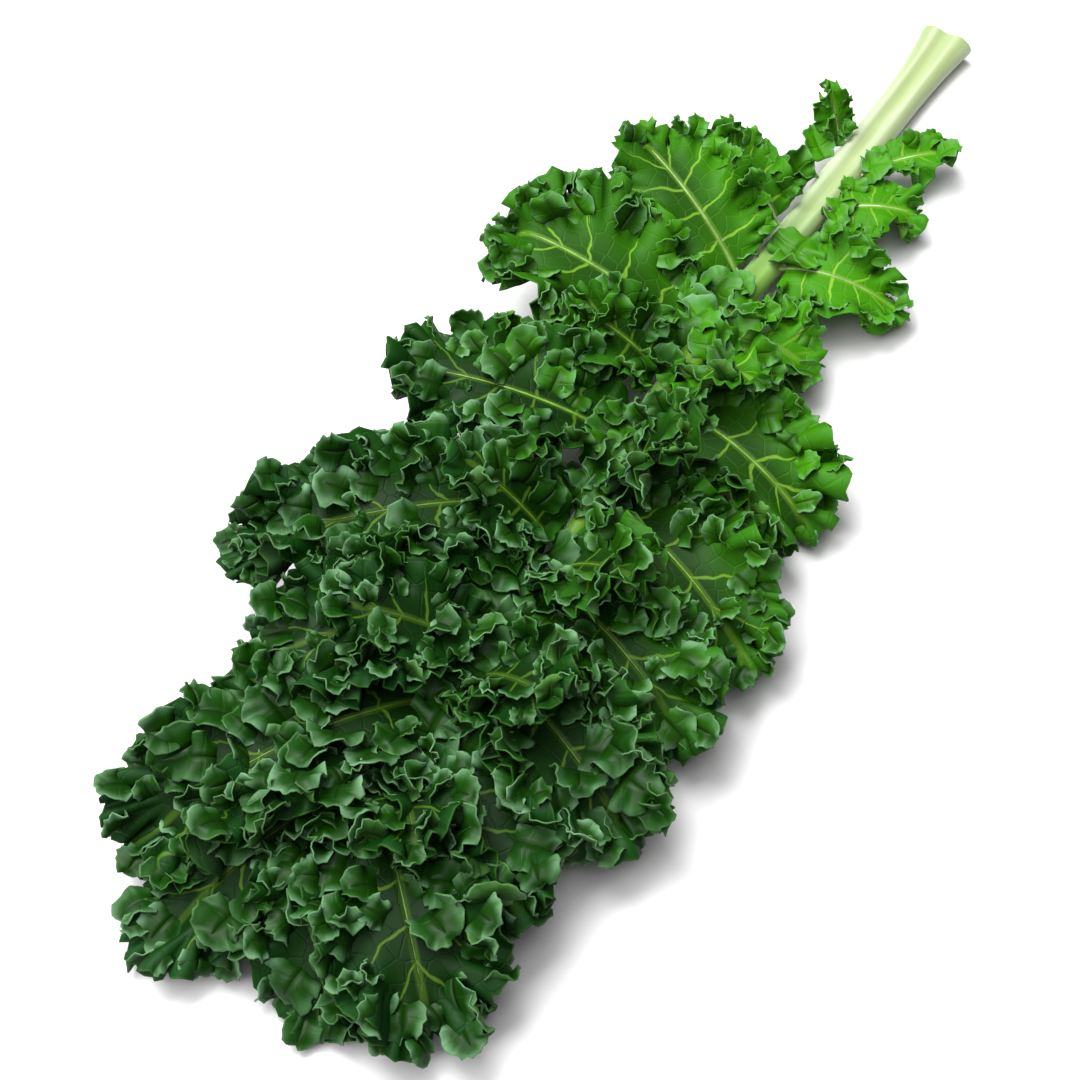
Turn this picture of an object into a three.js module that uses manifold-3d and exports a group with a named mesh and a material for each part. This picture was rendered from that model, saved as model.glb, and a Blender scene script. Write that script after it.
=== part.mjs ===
// A curly kale leaf, picked and laid on its back on a flat surface. Millimetres, +Z up.
//
// The leaf grew as one piece, in two colours. The pale stalk is the leaf stem, the midrib that it runs
// into, and a side rib for each lobe. The green blade grows on both sides of the midrib, which parts it
// as far as the leaf's tip, so each half is a body of its own. Each half is made of lobes: fans that are
// smooth round their rib and ruffled towards the edge, because a kale leaf's edge grows about three
// times as long as the lobe it belongs to.
//
// Along the leaf, places are given by "at", the distance from the stalk's cut end towards the tip.
import * as THREE from "three";
import { mergeVertices } from "three/addons/utils/BufferGeometryUtils.js";
import Module from "manifold-3d";

const wasm = await Module();
wasm.setup();

// Driving dimensions of the blade.
const BLADE_THICKNESS = 0.8;
const GAP = 0.5; // between the stalk and the blade, and between the blade's halves and the midline
const WAVE_LENGTH = 21; // of one ruffle, along the lobe's edge before it ruffles
const RUFFLE_DEPTH = 7; // how far a full-size lobe's edge swings to either side
const RUFFLE_START = 0.25; // where the ruffles start, on the way from the rib to the edge
const OVERHANG = 0.2; // how far a ruffle leans over its neighbours, as a share of its depth
const PULL_IN = 0.2; // how far a ruffle's crest is drawn back towards the rib, as a share of its depth
const ROLL_DEPTH = 0.07; // of the slow waves of a whole lobe, as a share of its reach
const ROLLS = 2.4; // how many of them there are round a lobe
const FAN = (150 * Math.PI) / 180; // a lobe's edge runs this far round its middle, either way
const FAN_ENDS = 0.86; // the share of that from which the edge calms down towards the midrib
const CENTRE = 0.45; // where a lobe's middle is, as a share of its reach
const SPINE = 0.75; // how far a lobe's rib runs, as a share of its reach
const SPINE_POWER = 1.3; // how the rib's points crowd towards its end
const ROOT_LIFT = 0.3; // how high a lobe's root sits over the stalk's line, as a share of the stalk's height
const ROOT_ROOM = 0.8; // how far it sits from the stalk's flank
const ROOM = 14; // how far from the midrib's line the ruffles have their full depth
const FLANK_LIMIT = -1.5; // how far a lobe's flank may reach back over its own root
const FLANK_SOFTNESS = 2.5; // how gently the flank is drawn back
const FLOOR_SOFTNESS = 1.5; // how gently an edge that meets the surface is pressed up
const SIDE_SOFTNESS = 1.2; // how gently a lobe is kept on its own side of the midrib

// How a lobe's sheet is divided: rows from the rib out to the edge, each with a share of the edge's columns.
const COLUMNS_PER_WAVE = 3;
const ROWS = [
  { out: 0, share: 1 / 8 },
  { out: 0.42, share: 1 / 4 },
  { out: 0.74, share: 1 / 2 },
  { out: 1, share: 1 },
];

// The stalk from its cut end to the leaf's tip: its line, its width and its height.
const STALK = [
  { at: 0, y: 2, z: 5.4, width: 18.6, height: 11.4 },
  { at: 12, y: 2, z: 4.8, width: 15.4, height: 10.2 },
  { at: 30, y: 2, z: 4.5, width: 13.2, height: 9.6 },
  { at: 62, y: 1.8, z: 5.8, width: 13, height: 9.2 },
  { at: 104, y: 1.5, z: 9, width: 11.2, height: 8.6 },
  { at: 165, y: 1, z: 13.2, width: 9.2, height: 7.6 },
  { at: 205, y: 0, z: 16, width: 8, height: 6.8 },
  { at: 257, y: -6, z: 19, width: 6.4, height: 5.6 },
  { at: 320, y: -8, z: 21, width: 4.4, height: 4.2 },
  { at: 365, y: -5, z: 19, width: 3, height: 3 },
];
const LEAF_LENGTH = 420;
const GROOVE_DEPTH = 0.2; // of the channel along the stem's upper side, as a share of its height
const GROOVE_WIDTH = 0.38; // of the channel, as a share of half the stem's width
const GROOVE_END = { from: 60, to: 190 }; // the channel closes between these places
const STALK_SIDES = 12;
const FLAT_SPOT = 0.3; // how much of the stem's round underside is pressed flat where it lies

// The side ribs, from their half width beside the midrib to that at their end, and the narrow wing of blade
// along the midrib.
const RIB = { sides: 4, steps: 3, least: 0.2, most: 1.5, lobeShare: 1 / 42, end: 0.45, sunk: 0.4 };
const WING = { start: 60, end: 372, step: 12, sides: 6, width: 5.2, height: 2.4, offset: 1.6 };
const WING_TAPER = { from: 150, to: 360, share: 0.45 };

// The lobes from the stem to the tip. side is 1 on the left and -1 on the right, looking from the cut end.
// heading is the angle, in degrees, by which a lobe leans from straight out towards the tip. rise and fall
// are the slopes of its rib at the midrib and at its end, and cup is how far its flanks turn up.
const LOBE_KEYS = ["name", "at", "side", "reach", "width", "heading", "rise", "fall", "cup"];
const LOBES = [
  ["first_right", 70, -1, 32, 18, -50, 14, 20, 25],
  ["first_left", 63, 1, 21, 14, -28, 66, -56, 30],
  ["second_right", 92, -1, 31, 26, -32, 18, 35, 20],
  ["second_left", 107, 1, 37, 26, -16, 45, -10, 30],
  ["third_right", 124, -1, 43, 32, -13, 20, 45, 15],
  ["third_left", 134, 1, 59, 46, -20, 40, 3, 20],
  ["fourth_right", 158, -1, 31, 36, -8, 22, 45, 12],
  ["fourth_left", 166, 1, 72, 60, 3, 34, 8, 10],
  ["fifth_right", 194, -1, 66, 50, 13, 26, 48, 14],
  ["fifth_left", 212, 1, 72, 50, 13, 32, 12, 20],
  ["sixth_right", 236, -1, 75, 50, 27, 28, 46, 16],
  ["sixth_left", 242, 1, 109, 50, 38, 30, 26, 22],
  ["seventh_right", 270, -1, 69, 50, 22, 30, 48, 18],
  ["seventh_left", 284, 1, 80, 52, 50, 34, 22, 24],
  ["eighth_right", 302, -1, 72, 50, 21, 26, 44, 18],
  ["eighth_left", 318, 1, 105, 54, 60, 30, 48, 22],
  ["ninth_right", 330, -1, 62, 46, 30, 24, 42, 20],
  ["ninth_left", 346, 1, 85, 50, 75, 22, 55, 20],
  ["tenth_right", 352, -1, 77, 56, 39, 22, 46, 20],
  // Lobes that stand up beside the midrib, where the leaf is folded in on itself.
  ["inner_left_a", 184, 1, 38, 36, 10, 58, -5, 30],
  ["inner_right_a", 178, -1, 36, 34, 16, 62, -10, 30],
  ["inner_right_b", 224, -1, 42, 36, 0, 76, -30, 35],
  ["inner_left_c", 256, 1, 44, 36, 4, 60, -20, 30],
  ["inner_right_c", 264, -1, 42, 38, 12, 66, -10, 30],
  ["inner_left_d", 300, 1, 50, 38, 30, 56, 0, 26],
  ["inner_right_d", 306, -1, 42, 38, 14, 60, -10, 30],
  ["inner_right_e", 344, -1, 40, 38, 40, 50, 0, 26],
];
const TIP = ["tip", 362, 1, 62, 48, 121, 8, 44, 8];
const TIP_SEED = 40;

const UP = new THREE.Vector3(0, 0, 1);
const degrees = (angle) => (angle * Math.PI) / 180;
const clamp01 = (x) => Math.min(Math.max(x, 0), 1);
const smoothstep = (from, to, x) => {
  const t = clamp01((x - from) / (to - from));
  return t * t * (3 - 2 * t);
};
// Presses x up so that it stays over the limit, as gently as softness says.
const keepOver = (x, limit, softness) => {
  const t = (x - limit) / softness;
  return t > 30 ? x : limit + softness * Math.log(1 + Math.exp(t));
};
// A repeatable random number from 0 to 1 for a lobe's seed and a draw's number.
const draw = (seed, n) => {
  const x = Math.sin(seed * 12.9898 + n * 78.233) * 43758.5453;
  return x - Math.floor(x);
};
// A smooth random wander from about -1 to 1 as m goes from 0 to 1.
const WANDER = [1.3, 2.9, 5.3];
const wander = (m, seed, first) => {
  const waves = WANDER.map((f, i) => Math.sin(2 * Math.PI * (f * m + draw(seed, first + i))) / (1.2 + i));
  return waves.reduce((sum, wave) => sum + wave) / 1.6;
};

// A value of the stalk's stations, between which it changes smoothly.
function stalkValue(key, at) {
  const last = STALK.length - 1;
  let i = 0;
  while (i < last - 1 && at > STALK[i + 1].at) i += 1;
  const [p0, p1, p2, p3] = [STALK[Math.max(i - 1, 0)], STALK[i], STALK[i + 1], STALK[Math.min(i + 2, last)]];
  const span = p2.at - p1.at;
  const slope = (a, b) => ((b[key] - a[key]) / (b.at - a.at)) * span;
  const t = (at - p1.at) / span;
  const rise = t * t * (3 - 2 * t);
  const bow = (t ** 3 - 2 * t * t + t) * slope(p0, p2) + (t ** 3 - t * t) * slope(p1, p3);
  return (1 - rise) * p1[key] + rise * p2[key] + bow;
}
const stalkPoint = (at) => new THREE.Vector3(LEAF_LENGTH / 2 - at, stalkValue("y", at), stalkValue("z", at));

// The surface of one lobe. place(u, v) gives its point: u runs round the edge from -1, at the midrib on the
// stem's side, to 1 on the tip's side, and v runs from 0 on the rib to 1 at the edge.
class LobeSurface {
  constructor(numbers, seed, beside = 1) {
    LOBE_KEYS.forEach((key, i) => (this[key] = numbers[i]));
    this.seed = seed;
    this.beside = beside; // 1 for a lobe beside the midrib, 0 for the tip's, which grows from its end
    this.lean = degrees(this.heading);
    const along = stalkPoint(this.at + 1).sub(stalkPoint(this.at - 1)).setZ(0).normalize();
    const out = new THREE.Vector3(along.y, -along.x, 0).multiplyScalar(this.side);
    const [cos, sin] = [Math.cos(this.lean), Math.sin(this.lean)];
    this.outward = out.clone().multiplyScalar(cos).addScaledVector(along, sin);
    this.across = along.clone().multiplyScalar(cos).addScaledVector(out, -sin);
    this.root = stalkPoint(this.at);
    this.root.z += ROOT_LIFT * stalkValue("height", this.at);
    this.root.addScaledVector(out, this.beside * (stalkValue("width", this.at) / 2 + ROOT_ROOM));
    this.start = degrees(this.rise);
    this.bend = (degrees(-this.fall) - this.start) / this.reach;
    this.curl = degrees(this.cup) / (this.width / 2);
    const radii = Math.hypot((1 - CENTRE) * this.reach, this.width / 2) / Math.SQRT2;
    this.waves = Math.max(3, Math.round((2 * FAN * radii) / WAVE_LENGTH));
    this.depth = RUFFLE_DEPTH * Math.min(1, 0.35 + this.width / 90);
  }

  // Where u and v lie on the lobe laid flat: x out along the rib and y across it. outX and outY lead from
  // the rib to the edge.
  flat(u, v) {
    const rib = this.reach * SPINE * (1 - Math.abs(u) ** SPINE_POWER);
    const outX = this.reach * (CENTRE + (1 - CENTRE) * Math.cos(u * FAN)) - rib;
    const outY = (this.width / 2) * Math.sin(u * FAN);
    const [x, y] = [rib + outX * v, outY * v];
    // A flank that would reach over the midrib is drawn back beside it.
    const off = x * Math.cos(this.lean) - y * Math.sin(this.lean);
    const shift = this.beside * (keepOver(off, FLANK_LIMIT, FLANK_SOFTNESS) - off);
    return { x: x + shift * Math.cos(this.lean), y: y - shift * Math.sin(this.lean), outX, outY };
  }

  place(u, v) {
    // The lobe without its ruffles: bent along its rib, and cupped across it.
    const { x, y, outX, outY } = this.flat(u, v);
    const slope = this.start + this.bend * Math.max(x, 0);
    const behind = Math.min(x, 0);
    const level = (Math.sin(slope) - Math.sin(this.start)) / this.bend + behind * Math.cos(this.start);
    const height = (Math.cos(this.start) - Math.cos(slope)) / this.bend + behind * Math.sin(this.start);
    const turn = this.curl * y;
    const ribWay = this.outward.clone().multiplyScalar(Math.cos(slope)).addScaledVector(UP, Math.sin(slope));
    const lift = this.outward.clone().multiplyScalar(-Math.sin(slope)).addScaledVector(UP, Math.cos(slope));
    const sideWay = this.across.clone().multiplyScalar(Math.cos(turn)).addScaledVector(lift, Math.sin(turn));
    const normal = lift.clone().multiplyScalar(Math.cos(turn)).addScaledVector(this.across, -Math.sin(turn));
    const point = this.root.clone().addScaledVector(this.outward, level).addScaledVector(UP, height);
    point.addScaledVector(this.across, Math.sin(turn) / this.curl);
    point.addScaledVector(lift, (1 - Math.cos(turn)) / this.curl);

    // The ruffles: slow waves of the whole lobe, then its edge winding from side to side.
    const m = (u + 1) / 2;
    const away = Math.hypot(outX, outY);
    const outWay = ribWay.clone().multiplyScalar(outX / away).addScaledVector(sideWay, outY / away);
    const edgeWay = sideWay.clone().multiplyScalar(outX / away).addScaledVector(ribWay, -outY / away);
    const held = (1 - smoothstep(FAN_ENDS, 1, Math.abs(u))) * smoothstep(0, ROOM, this.room(point));
    const rolling = Math.sin(2 * Math.PI * (ROLLS * m + draw(this.seed, 1)));
    const roll = ROLL_DEPTH * this.reach * v * v * held * rolling;
    const phase = 2 * Math.PI * (this.waves * m + 0.45 * wander(m, this.seed, 2) + draw(this.seed, 5));
    const depth = this.depth * (0.85 + 0.3 * wander(m, this.seed, 6));
    const swing = depth * held * smoothstep(RUFFLE_START, 1, v);
    point.addScaledVector(normal, roll + swing * Math.cos(phase));
    point.addScaledVector(edgeWay, OVERHANG * swing * Math.sin(2 * phase));
    point.addScaledVector(outWay, -PULL_IN * swing * Math.cos(phase) ** 2);
    return this.settle(point);
  }

  // How far a point is from the midrib's upright plane, on the lobe's side.
  room(point) {
    return this.side * (point.y - stalkValue("y", LEAF_LENGTH / 2 - point.x));
  }

  // Keeps a point on its own side of the midrib and over the surface that the leaf lies on.
  settle(point) {
    const room = this.room(point);
    const kept = keepOver(room, (BLADE_THICKNESS + GAP) / 2, SIDE_SOFTNESS);
    point.y += this.side * (kept - room);
    point.z = keepOver(point.z, BLADE_THICKNESS / 4, FLOOR_SOFTNESS);
    return point;
  }
}

// The lobe at the tip is one fan in the real leaf. Its two halves share a middle line, on the midrib's line.
// half is 1 or -1 for a half, and 0 for the whole fan.
class TipSurface extends LobeSurface {
  constructor(half) {
    super(TIP, TIP_SEED, 0);
    this.half = half;
  }

  room(point) {
    return this.half * point.clone().sub(this.root).dot(this.across);
  }

  settle(point) {
    if (this.half === 0) return point;
    const room = this.room(point);
    const kept = keepOver(room, (BLADE_THICKNESS + GAP) / 2, SIDE_SOFTNESS / 2);
    point.addScaledVector(this.across, this.half * (kept - room));
    point.z = keepOver(point.z, BLADE_THICKNESS / 4, FLOOR_SOFTNESS);
    return point;
  }

  // The middle line from the root, at 0, to the edge, at 1.
  midline(t) {
    if (t < SPINE) return this.place((1 - t / SPINE) ** (1 / SPINE_POWER), 0);
    return this.place(0, (t - SPINE) / (1 - SPINE));
  }
}

const lobes = LOBES.map((numbers, i) => new LobeSurface(numbers, i + 1));
const tipLine = new TipSurface(0);

// A closed solid from points and triangles, turned so that its faces point out.
function solidFrom(points, faces) {
  const vertProperties = new Float32Array(points.flatMap((p) => p.toArray()));
  const make = (triVerts) => new wasm.Manifold(new wasm.Mesh({ numProp: 3, vertProperties, triVerts }));
  const made = make(new Uint32Array(faces.flat()));
  return made.volume() > 0 ? made : make(new Uint32Array(faces.map(([a, b, c]) => [a, c, b]).flat()));
}

// A ruffled sheet of the blade's thickness, for u from one end to the other. Rows nearer to the rib have
// fewer points, and both faces are split into triangles alike. It is joined from patches, so a ruffle that
// touches the next one grows into it.
function sheet(surface, from, to, columns) {
  const points = [];
  const known = new Map();
  const indexOf = (p) => {
    const key = p.toArray().map((c) => c.toFixed(3)).join();
    if (!known.has(key)) known.set(key, points.push(p) - 1);
    return known.get(key);
  };
  const grid = ROWS.map(({ out, share }) => {
    const count = Math.max(2, Math.round(columns * share));
    const place = (_, i) => indexOf(surface.place(from + ((to - from) * i) / count, out));
    return Array.from({ length: count + 1 }, place);
  });
  const skin = [];
  for (let r = 0; r + 1 < grid.length; r += 1) {
    const [inner, outer] = [grid[r], grid[r + 1]];
    const split = (outer.length - 1) / (inner.length - 1);
    for (let i = 0; i + 1 < inner.length; i += 1) {
      const fan = outer.slice(i * split, (i + 1) * split + 1);
      const turnAt = split / 2;
      skin.push([inner[i], fan[Math.ceil(turnAt)], inner[i + 1]]);
      for (let k = 0; k < split; k += 1) {
        const hub = k < turnAt ? inner[i] : inner[i + 1];
        skin.push([hub, fan[k], fan[k + 1]]);
      }
    }
  }
  const faces = skin.filter(([a, b, c]) => a !== b && b !== c && a !== c);
  const normals = points.map(() => new THREE.Vector3());
  for (const face of faces) {
    const [a, b, c] = face.map((i) => points[i]);
    const cross = b.clone().sub(a).cross(c.clone().sub(a));
    face.forEach((i) => normals[i].add(cross));
  }
  normals.forEach((normal) => normal.setLength(BLADE_THICKNESS / 2));
  // Each face is made solid by itself, and then all grow together.
  const corners = (i) => [points[i].clone().add(normals[i]), points[i].clone().sub(normals[i])];
  const prism = (face) => wasm.Manifold.hull(face.flatMap(corners).map((p) => p.toArray()));
  return wasm.Manifold.union(faces.map(prism));
}

// A closed rod through rings of points, each ring given round the way the rod runs.
function loft(rings) {
  const sides = rings[0].length;
  const faces = [];
  for (let r = 0; r + 1 < rings.length; r += 1)
    for (let i = 0; i < sides; i += 1) {
      const [a, b] = [r * sides + i, r * sides + ((i + 1) % sides)];
      faces.push([a, b, b + sides], [a, b + sides, a + sides]);
    }
  const last = (rings.length - 1) * sides;
  for (let i = 1; i + 1 < sides; i += 1) faces.push([0, i + 1, i], [last, last + i, last + i + 1]);
  return solidFrom(rings.flat(), faces);
}

// A ring whose middle is at centre and whose plane faces along way. outline(angle) gives its points.
function ring(centre, way, sides, outline) {
  const level = new THREE.Vector3().crossVectors(UP, way).normalize();
  const lift = new THREE.Vector3().crossVectors(way, level).normalize();
  return Array.from({ length: sides }, (_, i) => {
    const [y, z] = outline((2 * Math.PI * (i + 0.5)) / sides);
    return centre.clone().addScaledVector(level, y).addScaledVector(lift, z);
  });
}

const oval = (width, height) => (angle) => [(width / 2) * Math.cos(angle), (height / 2) * Math.sin(angle)];

// The stem and midrib as one rod, grown by clearance all round.
function stalkRod(clearance) {
  const stem = (at) => {
    const way = stalkPoint(at + 1).sub(stalkPoint(Math.max(at - 1, 0)));
    const centre = stalkPoint(at);
    if (at === 0) centre.addScaledVector(way.clone().normalize(), -clearance);
    const [width, height] = [stalkValue("width", at), stalkValue("height", at)];
    const depth = GROOVE_DEPTH * height * (1 - smoothstep(GROOVE_END.from, GROOVE_END.to, at));
    const outline = (angle) => {
      const dip = angle < Math.PI ? depth * Math.exp(-((Math.cos(angle) / GROOVE_WIDTH) ** 2)) : 0;
      const [y, z] = oval(width + 2 * clearance, height + 2 * clearance)(angle);
      return [y, z - dip];
    };
    return ring(centre, way, STALK_SIDES, outline);
  };
  const between = (i) => (STALK[i].at + STALK[i + 1].at) / 2;
  const stations = STALK.slice(0, -1).flatMap(({ at }, i) => [at, between(i)]);
  // Within the tip's lobe the midrib follows the lobe's own surface out to its edge.
  const steps = 7;
  const tipEnd = 1.3;
  const inTip = (_, i) => {
    const t = i / steps;
    const here = tipLine.midline(t);
    const thick = THREE.MathUtils.lerp(STALK.at(-1).height, tipEnd, t) + 2 * clearance;
    return ring(here, tipLine.midline(t + 0.02).sub(here), STALK_SIDES, oval(thick, thick));
  };
  return loft([...stations.map(stem), ...Array.from({ length: steps + 1 }, inTip)]);
}

// A lobe's rib, tapering out along the lobe, grown by clearance.
function sideRib(surface, clearance) {
  const thickAt = (t) => {
    const base = RIB.least + Math.min(RIB.most, surface.width * RIB.lobeShare);
    return 2 * (THREE.MathUtils.lerp(base, RIB.end, t) + clearance);
  };
  const section = (t) => oval(thickAt(t), thickAt(t));
  const spine = (t) => surface.place((1 - t) ** (1 / SPINE_POWER), 0);
  const sunk = -RIB.sunk * stalkValue("width", surface.at);
  const inside = surface.root.clone().addScaledVector(surface.outward, sunk);
  const rings = [ring(inside, surface.root.clone().sub(inside), RIB.sides, section(0))];
  for (let i = 0; i < RIB.steps; i += 1) {
    const here = spine(i / RIB.steps);
    const way = spine(i / RIB.steps + 0.05).sub(here);
    rings.push(ring(here, way, RIB.sides, section(i / RIB.steps)));
  }
  const way = spine(1).sub(spine(0.98)).normalize();
  rings.push(ring(spine(1).addScaledVector(way, clearance), way, RIB.sides, section(1)));
  return loft(rings);
}

// The narrow wing of blade along one side of the midrib, which the lobes grow from.
function wing(side) {
  const rings = [];
  for (let at = WING.start; at <= WING.end; at += WING.step) {
    const within = Math.min(at, STALK.at(-1).at);
    const share = 1 - WING_TAPER.share * smoothstep(WING_TAPER.from, WING_TAPER.to, at);
    const centre = stalkPoint(at);
    centre.y += side * (stalkValue("width", within) / 2 + WING.offset * share);
    centre.z += ROOT_LIFT * stalkValue("height", within);
    const way = stalkPoint(at + 1).sub(stalkPoint(at - 1));
    rings.push(ring(centre, way, WING.sides, oval(WING.width * share, WING.height * share)));
  }
  return loft(rings);
}

// How many columns a sheet's edge has: a number that the rows nearer to the rib can halve three times.
const columnsFor = (waves) => 8 * Math.ceil((waves * COLUMNS_PER_WAVE) / 8);

function bladeHalf(side) {
  const own = lobes.filter((lobe) => lobe.side === side);
  const fans = own.map((lobe) => sheet(lobe, -1, 1, columnsFor(lobe.waves)));
  const tipHalf = sheet(new TipSurface(-side), 0, -side, columnsFor(tipLine.waves / 2));
  return wasm.Manifold.union([wing(side), tipHalf, ...fans]);
}

const stalkSolid = (clearance) => {
  const ribs = lobes.map((lobe) => sideRib(lobe, clearance));
  return wasm.Manifold.union([stalkRod(clearance), ...ribs]);
};

// The surface that the leaf lies on, raised by the stem's flat spot.
function surfaceSolid() {
  const depth = 100;
  const box = new THREE.BoxGeometry(2 * LEAF_LENGTH, LEAF_LENGTH, depth);
  box.translate(0, 0, FLAT_SPOT - depth / 2);
  box.deleteAttribute("normal");
  box.deleteAttribute("uv");
  const merged = mergeVertices(box);
  const corners = merged.getAttribute("position");
  const corner = (_, i) => new THREE.Vector3().fromBufferAttribute(corners, i);
  return solidFrom(Array.from({ length: corners.count }, corner), [[...merged.index.array]]);
}

// A cut leaves scraps, which are dropped, and slivers, which are merged into their neighbours.
const SLIVER = 0.15;
const surface = surfaceSolid();
const finished = (solid) => {
  const bodies = solid.subtract(surface).simplify(SLIVER).decompose();
  return bodies.sort((a, b) => b.volume() - a.volume())[0];
};

function meshOf(name, solid, material) {
  const { vertProperties, numProp, triVerts, numVert } = solid.getMesh();
  const positions = new Float32Array(numVert * 3);
  for (let i = 0; i < numVert; i += 1) {
    const start = i * numProp;
    positions.set(vertProperties.subarray(start, start + 3), i * 3);
  }
  const geometry = new THREE.BufferGeometry();
  geometry.setAttribute("position", new THREE.BufferAttribute(positions, 3));
  geometry.setIndex(new THREE.BufferAttribute(new Uint32Array(triVerts), 1));
  const mesh = new THREE.Mesh(geometry, material);
  mesh.name = name;
  return mesh;
}

const pale = new THREE.MeshStandardMaterial({ color: 0xbccba5, roughness: 0.45, metalness: 0 });
const green = new THREE.MeshStandardMaterial({ color: 0x2f6a1c, roughness: 0.5, metalness: 0 });

const clearance = stalkSolid(GAP);
const leaf = new THREE.Group();
leaf.add(meshOf("stalk", finished(stalkSolid(0)), pale));
leaf.add(meshOf("blade_left", finished(bladeHalf(1).subtract(clearance)), green));
leaf.add(meshOf("blade_right", finished(bladeHalf(-1).subtract(clearance)), green));

// The part's origin is the middle of the leaf's box, on the surface that it lies on.
const bounds = new THREE.Box3().setFromObject(leaf);
const middle = bounds.getCenter(new THREE.Vector3());
leaf.position.set(-middle.x, -middle.y, -bounds.min.z);

export default leaf;
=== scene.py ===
# %% [markdown]
# # A curly kale leaf
# One leaf of curly kale lies on its back on a pale surface, with its stalk away from the camera. The CAD
# model has its true sizes, and is loaded as a fixed frame. Here each lobe of the blade and the pale stalk are
# made again, finer, in the same places, and the small curls that crowd the blade are added.

# %% Load the frame
import math

import bmesh
import bpy
import numpy as np
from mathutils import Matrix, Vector


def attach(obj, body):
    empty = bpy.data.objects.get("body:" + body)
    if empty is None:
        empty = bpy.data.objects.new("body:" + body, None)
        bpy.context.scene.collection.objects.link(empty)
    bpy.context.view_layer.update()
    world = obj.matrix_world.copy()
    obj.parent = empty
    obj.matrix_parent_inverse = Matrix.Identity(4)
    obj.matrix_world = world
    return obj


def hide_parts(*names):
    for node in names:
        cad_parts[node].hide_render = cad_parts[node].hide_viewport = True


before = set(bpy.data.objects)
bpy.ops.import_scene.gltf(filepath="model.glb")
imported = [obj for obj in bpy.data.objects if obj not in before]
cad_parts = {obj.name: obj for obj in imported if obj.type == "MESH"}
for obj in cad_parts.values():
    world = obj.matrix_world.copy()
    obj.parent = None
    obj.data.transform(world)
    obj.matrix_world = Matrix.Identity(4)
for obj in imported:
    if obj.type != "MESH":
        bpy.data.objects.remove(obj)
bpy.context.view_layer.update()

# %% [markdown]
# ## Sizes
# The sizes are in millimetres, as in the CAD source, and a mesh gets them in metres at the very end.
# Places along the leaf are given by "at", the distance from the stalk's cut end towards the tip.

# %% The leaf's sizes
MM = 0.001
LEAF_LENGTH = 420
BLADE_THICKNESS = 0.5
WAVE_LENGTH = 21  # of one ruffle, along the lobe's edge before it ruffles
RUFFLE_DEPTH = 7  # how far a full-size lobe's edge swings to either side
RUFFLE_START = 0.25  # where the ruffles start, on the way from the rib to the edge
OVERHANG = 0.2  # how far a ruffle leans over its neighbours, as a share of its depth
PULL_IN = 0.2  # how far a ruffle's crest is drawn back towards the rib, as a share of its depth
ROLL_DEPTH = 0.07  # of the slow waves of a whole lobe, as a share of its reach
ROLLS = 2.4  # how many of them there are round a lobe
FAN = math.radians(150)  # a lobe's edge runs this far round its middle, either way
FAN_ENDS = 0.86  # the share of that from which the edge calms down towards the midrib
CENTRE = 0.45  # where a lobe's middle is, as a share of its reach
SPINE = 0.75  # how far a lobe's rib runs, as a share of its reach
SPINE_POWER = 1.3  # how the rib's points crowd towards its end
ROOT_LIFT = 0.3  # how high a lobe's root sits over the stalk's line, as a share of the stalk's height
ROOT_ROOM = 0.8  # how far it sits from the stalk's flank
ROOM = 14  # how far from the midrib's line the ruffles have their full depth
FLANK_LIMIT = -1.5  # how far a lobe's flank may reach back over its own root
FLANK_SOFTNESS = 2.5
FLOOR_LEVEL = 0.75  # the lowest that the middle of the blade's sheet comes
FLOOR_SOFTNESS = 1.5  # how gently an edge that meets the surface is pressed up
SIDE_GAP = 0.65  # between the middle of the sheet and the midrib's line
SIDE_SOFTNESS = 1.2

STALK = dict(
    at=[0, 12, 30, 62, 104, 165, 205, 257, 320, 365],
    y=[2, 2, 2, 1.8, 1.5, 1, 0, -6, -8, -5],
    z=[5.4, 4.8, 4.5, 5.8, 9, 13.2, 16, 19, 21, 19],
    width=[18.6, 15.4, 13.2, 13, 11.2, 9.2, 8, 6.4, 4.4, 3],
    height=[11.4, 10.2, 9.6, 9.2, 8.6, 7.6, 6.8, 5.6, 4.2, 3],
)
print("stalk stations", len(STALK["at"]))

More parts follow.
